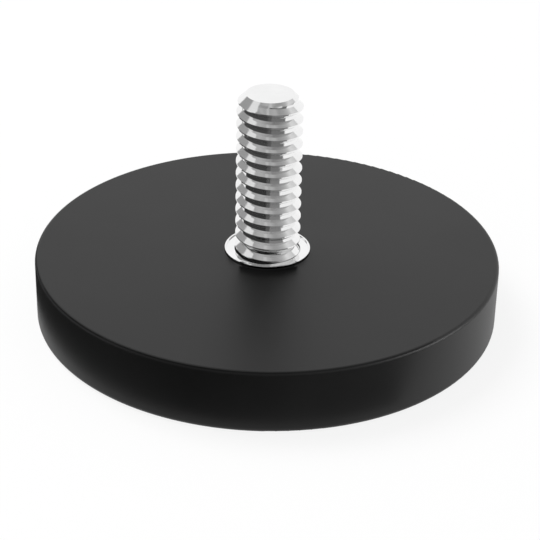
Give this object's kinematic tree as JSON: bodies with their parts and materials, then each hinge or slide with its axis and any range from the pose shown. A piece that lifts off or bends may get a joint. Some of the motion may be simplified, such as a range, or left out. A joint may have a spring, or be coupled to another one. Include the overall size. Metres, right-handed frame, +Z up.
{
  "type": "rubber coated pot magnet with threaded stud",
  "caption": "Flat round holding magnet in a rubber jacket, with a dished metal collar and an upright threaded stud for fixing things to a steel surface.",
  "frame": {"origin": "centre of the flat holding face, on the surface that the magnet stands on", "axes": "+Z up along the stud's axis; +X to the right in the picture, with the camera on the -Y side"},
  "size_m": [0.045, 0.045, 0.0228],
  "materials": {
    "rubber": "smooth satin moulded rubber, black",
    "plate_steel": "plain rolled steel",
    "bright_steel": "bright plated steel",
    "magnet": "nickel plated"
  },
  "bodies": {
    "root": {"rubber_jacket": "rubber", "steel_plate": "plate_steel", "bush": "bright_steel", "stud": "bright_steel", "magnet_1": "magnet", "magnet_2": "magnet", "magnet_3": "magnet", "magnet_4": "magnet", "magnet_5": "magnet", "magnet_6": "magnet"}
  },
  "joints": []
}
